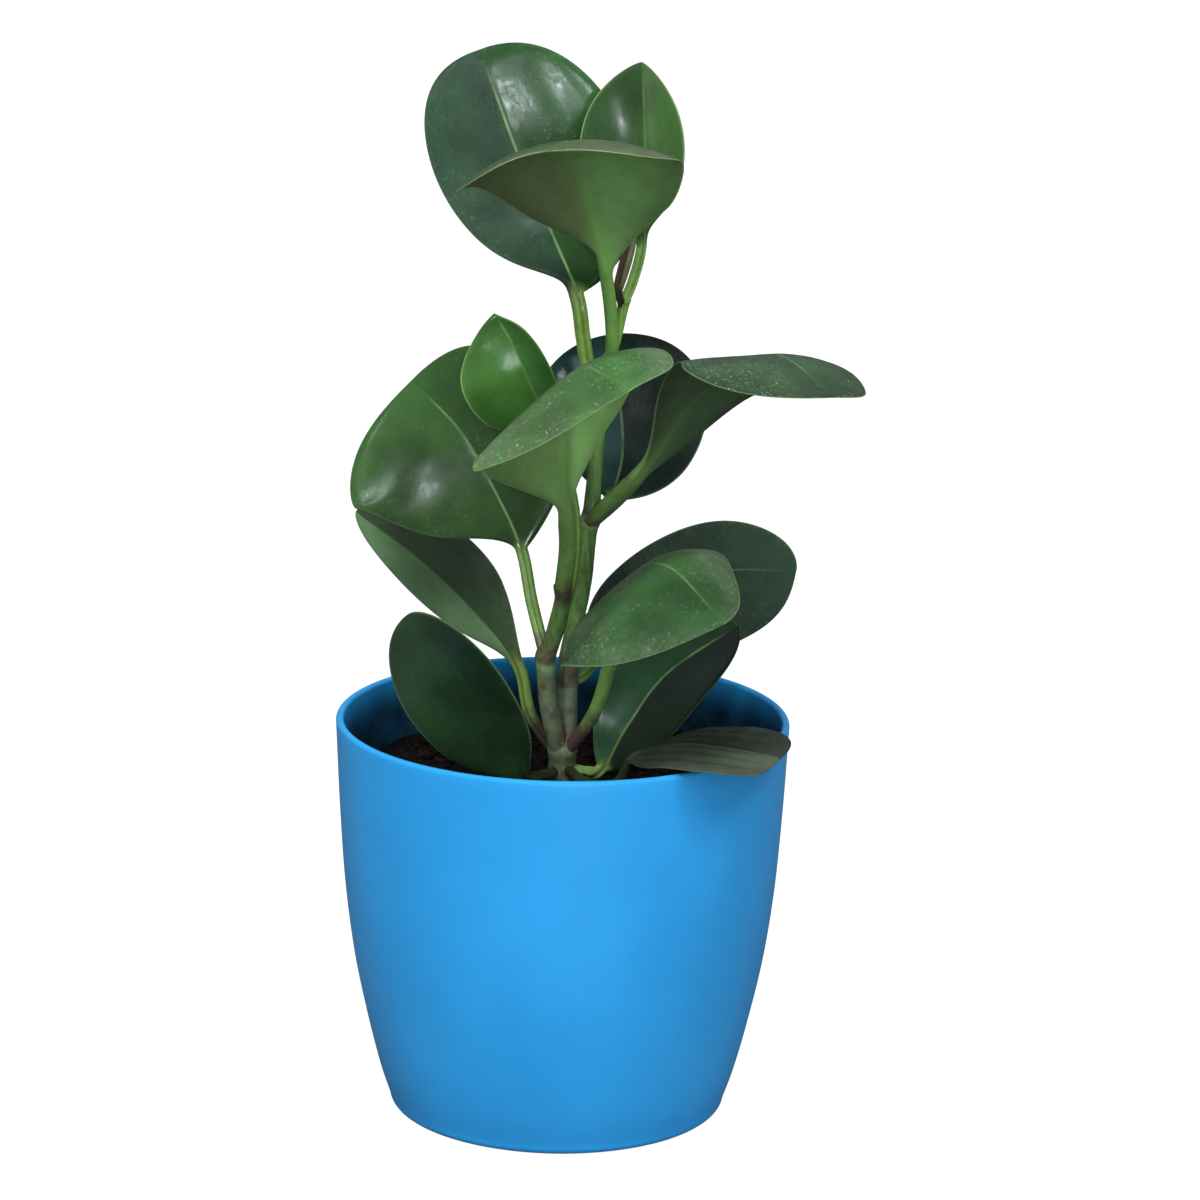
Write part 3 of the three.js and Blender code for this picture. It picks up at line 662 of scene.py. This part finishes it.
    def with_petiole(self, colour):
        """The petiole with its furrow and foot, which runs a little way into the blade."""
        stripe = self.ramp(self.noise(2.2, 4, 0.65), 0.35, 0.7, 0.0, 0.6)
        stalk = self.tint(stripe, linear(self.look["stalk"]), (0.62, 0.62, 0.6))
        furrow = self.times(self.ramp(self.out, 0.34, 0.06, 0.0, 0.6), self.upper)
        stalk = self.tint(furrow, stalk, (0.42, 0.36, 0.34))
        share = self.look["foot_share"]
        ragged = self.ramp(self.noise(4, 3), 0.3, 0.7, -0.08, 0.08)
        foot = self.ramp(self.plus(self.along, ragged), share - 0.9, share - 1.15)
        stalk = self.mix(foot, stalk, linear(self.look["foot"]))
        reach = self.ramp(self.plus(self.along, self.times(self.from_rib, 0.02)), 0.12, -0.02)
        return self.mix(reach, colour, stalk)

    def roughness(self):
        return self.plus(
            self.ramp(self.noise(3, 4, 0.6), 0.3, 0.7, -0.03, 0.06),
            self.ramp(self.across, -0.04, 0.04, *self.look["gloss"]),
            self.times(self.math("SUBTRACT", 1.0, self.upper), UNDER_ROUGHER),
            self.times(self.dust, DUST_ROUGHER),
            self.ramp(self.from_edge, 1.6, 0.3, 0.0, EDGE_ROUGHER))


# ==== pot and soil
def arc(z, r, radius, start, end, steps):
    """Places (height, radius) on an arc round (z, r), between two turns in degrees."""
    angles = [math.radians(start + (end - start) * i / steps) for i in range(steps + 1)]
    return [(z + radius * math.sin(a), r + radius * math.cos(a)) for a in angles]


def outer_wall():
    """Places (height, radius) up the outside of the pot, between its foot and its rim."""
    return curve(POT_OUTLINE, np.linspace(0, 1, WALL_STEPS))


def wall_radius(z):
    """Outer radius of the pot at a height, or at an array of heights."""
    wall = outer_wall()
    return np.interp(z, wall[:, 0], wall[:, 1])


def ring(radius, z, count):
    """Points round the pot's axis."""
    turn = turns(count)
    return np.stack([radius * np.cos(turn), radius * np.sin(turn), np.full(count, z)], 1)


def pot_profile():
    """Places (height, radius) round the pot's wall: under it, up outside, down inside."""
    outer = [tuple(p) for p in outer_wall()]
    foot_height, foot_radius = POT_OUTLINE[0]
    rim_height, rim_radius = POT_OUTLINE[-1]
    corner = POT_FLOOR + FLOOR_ROUND
    inside = [(z, r - POT_WALL) for z, r in reversed(outer) if z > corner + 1]
    inner_corner = wall_radius(corner) - POT_WALL - FLOOR_ROUND
    return [
        (0, CENTRE), (0, FLOOR_RING), (0, foot_radius - FOOT_ROUND - 4),
        *arc(foot_height, foot_radius - FOOT_ROUND, FOOT_ROUND, -90, 0, 6),
        *outer[1:-1],
        *arc(rim_height, rim_radius - RIM_ROUND, RIM_ROUND, 0, 180, 12),
        *inside[1:],
        *arc(corner, inner_corner, FLOOR_ROUND, 0, -90, 5),
        (POT_FLOOR, FLOOR_RING), (POT_FLOOR, CENTRE),
    ]


def make_pot():
    profile = pot_profile()
    points = np.concatenate([ring(r, z, POT_SEGMENTS) for z, r in profile])
    faces = inside_out(grid_faces(len(profile), POT_SEGMENTS)
                       + end_caps(len(profile), POT_SEGMENTS))
    # Painted shade darkens the inside, more with depth below the rim.
    reach = np.hypot(points[:, 0], points[:, 1])
    height = points[:, 2]
    within = reach < wall_radius(height) - RIM_ROUND
    depth = np.clip((POT_OUTLINE[-1][0] - height) / SHADE_FADE, 0, 1)
    values = {"inside": np.where(within, depth, 0)}
    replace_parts(piece("pot_shell", points, faces, pot_material(), "pot_blue", values), "pot")


def soil_height(x, y):
    """The soil's surface: lumps, which are low round the stems, and a dip at the wall."""
    lumps = noise.fractal(Vector((x, y, SEED)) * 0.09, 0.9, 2.1, 4)
    grit = noise.fractal(Vector((x, y, 3 * SEED)) * 0.45, 0.8, 2.2, 3)
    calm = min(1, max(0.25, (math.hypot(x, y - STEM_Y) - 4) / 12))
    dip = WALL_DIP * max(0, (math.hypot(x, y) - DIP_START) / 12) ** 2
    return SOIL_LEVEL - 0.3 + calm * (LUMP_HEIGHT * lumps + GRIT_HEIGHT * grit) - dip


def soil_radius(z):
    """Radius of the pot's inside at a height, less the soil's gap."""
    return wall_radius(z) - POT_WALL - SOIL_GAP


def make_soil():
    bottom = SOIL_LEVEL - SOIL_DEPTH
    shoulder = SOIL_LEVEL - SOIL_SHOULDER
    points = [ring(CENTRE, bottom, SOIL_TURNS), ring(soil_radius(bottom), bottom, SOIL_TURNS),
              ring(soil_radius(shoulder), shoulder, SOIL_TURNS)]
    edge = soil_radius(SOIL_LEVEL - 1)
    for i in range(SOIL_RINGS):
        top = ring(edge * (1 - i / (SOIL_RINGS - 1)) + 2 * CENTRE, 0, SOIL_TURNS)
        top[:, 2] = [soil_height(x, y) for x, y, _ in top]
        points.append(top)
    faces = inside_out(grid_faces(len(points), SOIL_TURNS))
    bed = piece("soil_bed", np.concatenate(points), faces,
                soil_material("peat", (8, 7, 9), (24, 19, 20)), "soil_dark")
    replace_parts(bed, "soil")


def loose_reach():
    """How far from the axis the loose lumps and fibres lie."""
    return wall_radius(SOIL_LEVEL) - POT_WALL - LOOSE_MARGIN


def loose_place(draw, least):
    """A random place on the soil, x and y."""
    reach = loose_reach() * math.sqrt(draw.uniform(least, 1))
    turn = draw.uniform(0, 2 * math.pi)
    return reach * math.cos(turn), reach * math.sin(turn)


def crumb(x, y, size, lean):
    """A lump of peat: a small ball pushed out of shape."""
    level = soil_height(x, y) + 0.35 * size
    points = []
    for tier in range(CRUMB_TIERS):
        polar = math.pi * (tier + 0.35) / (CRUMB_TIERS - 0.3)
        for angle in turns(CRUMB_SIDES):
            v = Vector((math.sin(polar) * math.cos(angle), math.sin(polar) * math.sin(angle),
                        math.cos(polar)))
            v *= size * (1 + 0.45 * noise.noise(v * 1.7 + lean * 9) + 0.25 * lean.dot(v))
            points.append((x + v.x, y + v.y, level + 0.75 * v.z))
    faces = inside_out(grid_faces(CRUMB_TIERS, CRUMB_SIDES) + end_caps(CRUMB_TIERS, CRUMB_SIDES))
    return points, faces


def gather(parts):
    """Points and faces of several closed parts, as one list of each."""
    points, faces = [], []
    for part_points, part_faces in parts:
        faces += [tuple(len(points) + n for n in f) for f in part_faces]
        points += [tuple(p) for p in part_points]
    return points, faces


def make_crumbs():
    """Lumps of peat that lie on the soil."""
    draw = random.Random(SEED)
    parts = []
    for _ in range(CRUMBS):
        x, y = loose_place(draw, 0.01)
        if math.hypot(x, y - STEM_Y) < CRUMB_CLEARING:
            continue
        size = CRUMB_SIZES[0] + CRUMB_SIZES[1] * draw.random() ** 3
        lean = Vector([draw.uniform(-1, 1) for _ in range(3)])
        parts.append(crumb(x, y, size, lean))
    material = soil_material("crumb_peat", (11, 9, 10), (34, 26, 24))
    piece("soil_crumbs", *gather(parts), material, "soil_dark")


def fibre_path(draw):
    """A loose curve over the soil, which stops at the pot's wall."""
    x, y = loose_place(draw, 0)
    heading = draw.uniform(0, 2 * math.pi)
    bend = draw.uniform(-0.5, 0.5)
    hump = draw.uniform(0.2, 1.8) * draw.random()
    count = draw.randint(7, 15)
    path = []
    for k in range(count):
        share = k / (count - 1)
        if math.hypot(x, y) > loose_reach():
            break
        lift = FIBRE_LIFT + hump * 4 * share * (1 - share)
        path.append((x, y, soil_height(x, y) + lift))
        heading += bend + draw.uniform(-0.25, 0.25)
        x += FIBRE_STEP * math.cos(heading)
        y += FIBRE_STEP * math.sin(heading)
    return path


def make_fibres():
    """Thin root and coir strands that lie on the soil."""
    draw = random.Random(SEED + 1)
    parts = []
    for _ in range(FIBRES):
        path = fibre_path(draw)
        if len(path) >= 4:
            thick = draw.uniform(*FIBRE_RADII)
            parts.append(tube(path, [thick] * len(path), FIBRE_SIDES))
    material = soil_material("fibre", (34, 25, 21), (72, 54, 40))
    piece("soil_fibres", *gather(parts), material, "soil_dark")


# ==== stems
def bands(heights, marks):
    """0..1 for each height: how far it lies inside one of the marked bands."""
    inside = [np.clip(1.6 - np.abs(heights - z) / half, 0, 1) for z, half in marks]
    return np.max(inside, axis=0)


def bark(x, angle, z):
    """Unevenness of a stem's skin at a turn and a height."""
    place = Vector((x * 0.25, math.cos(angle) * 1.6, math.sin(angle) * 1.6 + z * 0.22))
    return noise.fractal(place, 0.8, 2.0, 3)


def stem_tube(stem, brown, pale):
    """Points and faces of a stem, with how brown and how pale each point is."""
    length = float(np.linalg.norm(np.diff(np.array(stem)[:, :3], axis=0), axis=1).sum())
    along = curve(stem, np.linspace(0, 1, int(length / STEM_STEP)))
    turn = turns(STEM_SIDES)
    rough = np.array([[bark(x, a, z) for a in turn] for x, _, z, _ in along])
    sections = 1 + STEM_ROUGHNESS * rough + RIDGE_HEIGHT * np.cos(STEM_RIDGES * turn)
    points, faces = tube(along[:, :3], along[:, 3], STEM_SIDES, sections)
    ragged = np.tile(0.5 * np.cos(turn + 1), len(along)) + 0.4 * rough.ravel()
    uneven = points[:, 2] + ragged
    return points, faces, bands(uneven, brown), bands(uneven, pale)


def scar(place, facing, radius):
    """A leaf scar: a low round cushion with a sunken middle."""
    facing = Vector(facing).normalized()
    across = facing.cross(Vector((0, 0, 1))).normalized()
    up = across.cross(facing)
    points = []
    for reach, lift in SCAR_OUTLINE:
        for a in turns(SCAR_SIDES):
            rim = across * math.cos(a) + up * (SCAR_FLATNESS * math.sin(a))
            points.append(Vector(place) + radius * (rim * reach + facing * lift))
    rings = len(SCAR_OUTLINE)
    return points, inside_out(grid_faces(rings, SCAR_SIDES) + end_caps(rings, SCAR_SIDES))


def make_stems():
    material = stem_material()
    for name, stem, brown, pale in (("stem_main", MAIN_STEM, MAIN_BROWN, MAIN_PALE),
                                    ("stem_side", SIDE_STEM, SIDE_BROWN, SIDE_PALE)):
        points, faces, browned, paled = stem_tube(stem, brown, pale)
        values = {"height": points[:, 2], "brown": browned, "pale": paled}
        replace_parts(piece(name, points, faces, material, "stem_green", values), "stem")
    for number, (place, facing, radius) in enumerate(SCARS, 1):
        points, faces = scar(place, facing, radius)
        ones = np.ones(len(points))
        values = {"height": SCAR_HEIGHT * ones, "brown": 0 * ones, "pale": ones}
        piece(f"leaf_scar_{number}", points, faces, material, "stem_green", values)


# ==== leaves
def by_half(v, pair):
    """The left half's number where v is below 0 and the right half's elsewhere, as one row."""
    return np.where(v < 0, pair[0], pair[1])[None, :]


def outline(u, swell, taper, flare):
    """Share of the full half width at u, from the blade's base (0) to its tip (1)."""
    top = swell / (swell + taper)
    opened = np.maximum(0, 1 - flare * np.exp(-(u / FLARE_REACH) ** 2))
    return opened * (u / top) ** swell * ((1 - u) / (1 - top)) ** taper


def leaf_rings(leaf):
    """Each ring's place t on the rib, its place u on the blade, and its along."""
    start = leaf["neck"] / (len(leaf["rib"]) - 1)
    petiole = np.arange(PETIOLE_RINGS) / PETIOLE_RINGS
    blade = 0.5 - 0.5 * np.cos(np.pi * np.arange(BLADE_RINGS + 1) / BLADE_RINGS)
    blade = np.clip(blade, 1e-6, 1 - TIP_CUT)
    t = np.concatenate([start * petiole, start + (1 - start) * blade])
    u = np.concatenate([np.zeros(PETIOLE_RINGS), blade])
    return t, u[:, None], np.concatenate([petiole - 1, blade])


def leaf_columns():
    """Places across a leaf, -1..1, closer together at the midrib and at the margins."""
    s = np.linspace(0, 1, HALF_STRIPS + 1)
    half = s - CROWDING * np.sin(2 * np.pi * s)
    return np.concatenate([-half[::-1], half[1:]])


def rib_frames(leaf, t, u):
    """Centre, direction ahead, direction to the right and direction up of each ring."""
    base_side, tip_side = np.array(leaf["side"])
    centre = curve(leaf["rib"], t)
    after = curve(leaf["rib"], np.minimum(t + 1e-3, 1))
    before = curve(leaf["rib"], np.maximum(t - 1e-3, 0))
    ahead = unit(after - before)
    side = square_to(base_side * (1 - u) + tip_side * u, ahead)
    return centre, ahead, side, np.cross(side, ahead)


def half_thickness(stalk, u, v):
    """From the petiole's radius down to the blade's, thinner towards its margins."""
    fade = np.minimum(u / THINNING, 1)
    middle = stalk + (BLADE_MIDDLE - stalk) * fade * (2 - fade)
    round_off = np.sqrt(np.clip(1 - np.abs(v) ** 8, 0, 1)) * np.sqrt(1 - u ** 40)
    return BLADE_EDGE * round_off + (middle - BLADE_EDGE) * np.sqrt(1 - v ** 2) * round_off


def ripples(number, centre, across_mm, width, v):
    """A blade's soft unevenness: seeded waves that die out at its midrib and margins."""
    steps = np.linalg.norm(np.diff(centre, axis=0), axis=1)
    length = np.concatenate([[0], steps.cumsum()])[:, None]
    draw = random.Random(SEED + number)
    waves = np.zeros_like(across_mm)
    for size in RIPPLE_LENGTHS:
        turn = draw.uniform(0, math.pi)
        travel = length * math.cos(turn) + across_mm * math.sin(turn)
        phase = 2 * math.pi / size * travel + draw.uniform(0, 6)
        waves += size / RIPPLE_LENGTHS[0] * np.sin(phase)
    grown = 1 - np.exp(-np.abs(across_mm) / RIPPLE_FROM_RIB)
    return waves * RIPPLE * (1 - v ** 4) * np.clip(width / RIPPLE_HALF_WIDTH, 0, 1) * grown


def bell(distance, width):
    return np.exp(-(distance / width) ** 2)


def rib_relief(stalk, u, across_mm):
    """Depth of the channel on the upper face, and height of the keel on the lower one."""
    on_blade = np.clip(u / RIB_START, 0, 1)
    groove = on_blade * RIB_GROOVE * (1 - u) ** 0.6 * bell(across_mm, RIB_GROOVE_WIDTH)
    channel = PETIOLE_CHANNEL * stalk * bell(across_mm, PETIOLE_CHANNEL_WIDTH * stalk)
    keel = on_blade * RIB_KEEL * (1 - u) ** 2.2 * bell(across_mm, RIB_KEEL_WIDTH)
    return groove + (1 - on_blade) * channel, keel


def unfolding(sheet, ahead):
    """Moves that smooth a blade's rings where they cross, on the inner side of a tight bend."""
    crossed = np.zeros(sheet.shape[:2])
    crossed[:-1] = np.sum(np.diff(sheet, axis=0) * ahead[:-1, None], axis=2) < 0
    for _ in range(UNFOLD_REACH):
        spread = crossed.copy()
        spread[1:] += crossed[:-1]
        spread[:-1] += crossed[1:]
        spread[:, 1:] += crossed[:, :-1]
        spread[:, :-1] += crossed[:, 1:]
        crossed = np.minimum(spread, 1)
    smooth = sheet.copy()
    for _ in range(UNFOLD_ROUNDS):
        pull = 0.5 * (smooth[:-2] + smooth[2:]) - smooth[1:-1]
        smooth[1:-1] += 0.5 * crossed[1:-1, :, None] * pull
    return smooth - sheet


def make_leaf(number, name, leaf):
    stalk = leaf["stalk"]
    t, u, along = leaf_rings(leaf)
    v = leaf_columns()
    centre, ahead, side, up = rib_frames(leaf, t, u)
    form = outline(u, *[by_half(v, leaf[key]) for key in ("swell", "taper", "flare")])
    width = np.hypot(stalk * (1 - u), by_half(v, leaf["half"]) * form)
    across_mm = v * width

    # The middle of the blade's thickness, then its upper and its lower face.
    bend_base, bend_tip = leaf["bend"]
    lift = by_half(v, bend_base) * (1 - u) + by_half(v, bend_tip) * u
    rise = lift * (v * np.where(u > 0, form, 0)) ** 2 + ripples(number, centre, across_mm, width, v)
    sheet = centre[:, None] + side[:, None] * across_mm[:, :, None] + up[:, None] * rise[:, :, None]
    sheet += unfolding(sheet, ahead)
    thick = half_thickness(stalk, u, v)
    sunken, keel = rib_relief(stalk, u, across_mm)
    upper = sheet + up[:, None] * (thick - sunken)[:, :, None]
    lower = sheet - up[:, None] * (thick + keel)[:, :, None]

    # A ring runs over the upper face from left to right and back under the lower one.
    back = slice(-2, 0, -1)
    points = np.concatenate([upper, lower[:, back]], 1)
    rings, section = points.shape[:2]
    full = np.ones_like(thick)

    def round_ring(numbers):
        return np.concatenate([numbers, numbers[:, back]], 1).ravel()

    values = {
        "along": round_ring(along[:, None] * full),
        "across": round_ring(v * full),
        "from_rib": round_ring(np.abs(across_mm)),
        "from_edge": round_ring(width - np.abs(across_mm)),
        "upper": np.concatenate([full, 0 * full[:, back]], 1).ravel(),
    }
    faces = grid_faces(rings, section) + end_caps(rings, section)
    material = LeafShader(name, {**LOOK, **LEAF_LOOKS[name]}).material
    made = piece(name + "_fine", points.reshape(-1, 3), faces, material,
                 SLOTS.get(name, "leaf_green"), values)
    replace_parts(made, name)


# ==== room and camera
def make_floor():
    """A pale floor. It looks white in the picture and throws back less light than that."""
    mesh = bpy.data.meshes.new("floor")
    a = FLOOR_REACH
    mesh.from_pydata([(-a, -a, 0), (a, -a, 0), (a, a, 0), (-a, a, 0)], [], [(0, 1, 2, 3)])
    floor = bpy.data.objects.new("floor", mesh)
    bpy.context.scene.collection.objects.link(floor)
    s = Shader("floor_pale", base_color=linear((116, 116, 118)), roughness=0.9, specular=0.1)
    seen = s.tree.nodes.new("ShaderNodeLightPath").outputs["Is Camera Ray"]
    s.set("Emission Color", (1, 1, 1, 1))
    s.set("Emission Strength", s.times(seen, FLOOR_GLOW))
    mesh.materials.append(s.material)


def make_lamp(name, place, colour, in_gloss):
    azimuth, elevation, distance, width, height, share = place
    lamp = bpy.data.lights.new(name, "AREA")
    lamp.shape = "RECTANGLE"
    lamp.size = width
    lamp.size_y = height
    lamp.energy = share * math.pi ** 2 * distance ** 2
    lamp.color = colour
    made = bpy.data.objects.new(name, lamp)
    made.visible_glossy = in_gloss
    a = math.radians(azimuth)
    e = math.radians(elevation)
    towards = Vector((math.sin(a) * math.cos(e), -math.cos(a) * math.cos(e), math.sin(e)))
    made.location = LAMP_AIM + towards * distance
    made.rotation_mode = "QUATERNION"
    made.rotation_quaternion = (-towards).to_track_quat("-Z", "Y")
    bpy.context.scene.collection.objects.link(made)


def make_light():
    world = bpy.data.worlds.new("room")
    world.use_nodes = True
    background = world.node_tree.nodes["Background"]
    background.inputs["Color"].default_value = ROOM_COLOUR
    background.inputs["Strength"].default_value = ROOM
    bpy.context.scene.world = world
    for name, place in LAMPS.items():
        make_lamp(name, place, LAMP_COLOUR, False)
    for name, place in PANES.items():
        make_lamp(name, place, PANE_COLOUR, True)


def make_camera():
    data = bpy.data.cameras.new("camera")
    data.sensor_width = SENSOR
    data.lens = SENSOR * FOCAL / PICTURE
    data.clip_start = 0.01
    data.clip_end = 100
    camera = bpy.data.objects.new("camera", data)
    e = math.radians(CAMERA_ELEVATION)
    back = Vector((0, -math.cos(e), math.sin(e)))
    camera.location = (Vector(CAMERA_TARGET) + back * CAMERA_DISTANCE) * MM
    camera.rotation_mode = "QUATERNION"
    camera.rotation_quaternion = (Quaternion((1, 0, 0), math.pi / 2 - e)
                                  @ Quaternion((0, 0, 1), math.radians(CAMERA_ROLL)))
    bpy.context.scene.collection.objects.link(camera)
    bpy.context.scene.camera = camera
    bpy.context.scene.view_settings.view_transform = "Standard"


make_camera()
make_light()
make_floor()
make_pot()
make_soil()
make_crumbs()
make_fibres()
make_stems()
for index, (leaf_name, leaf_shape) in enumerate(LEAVES.items()):
    make_leaf(index, leaf_name, leaf_shape)
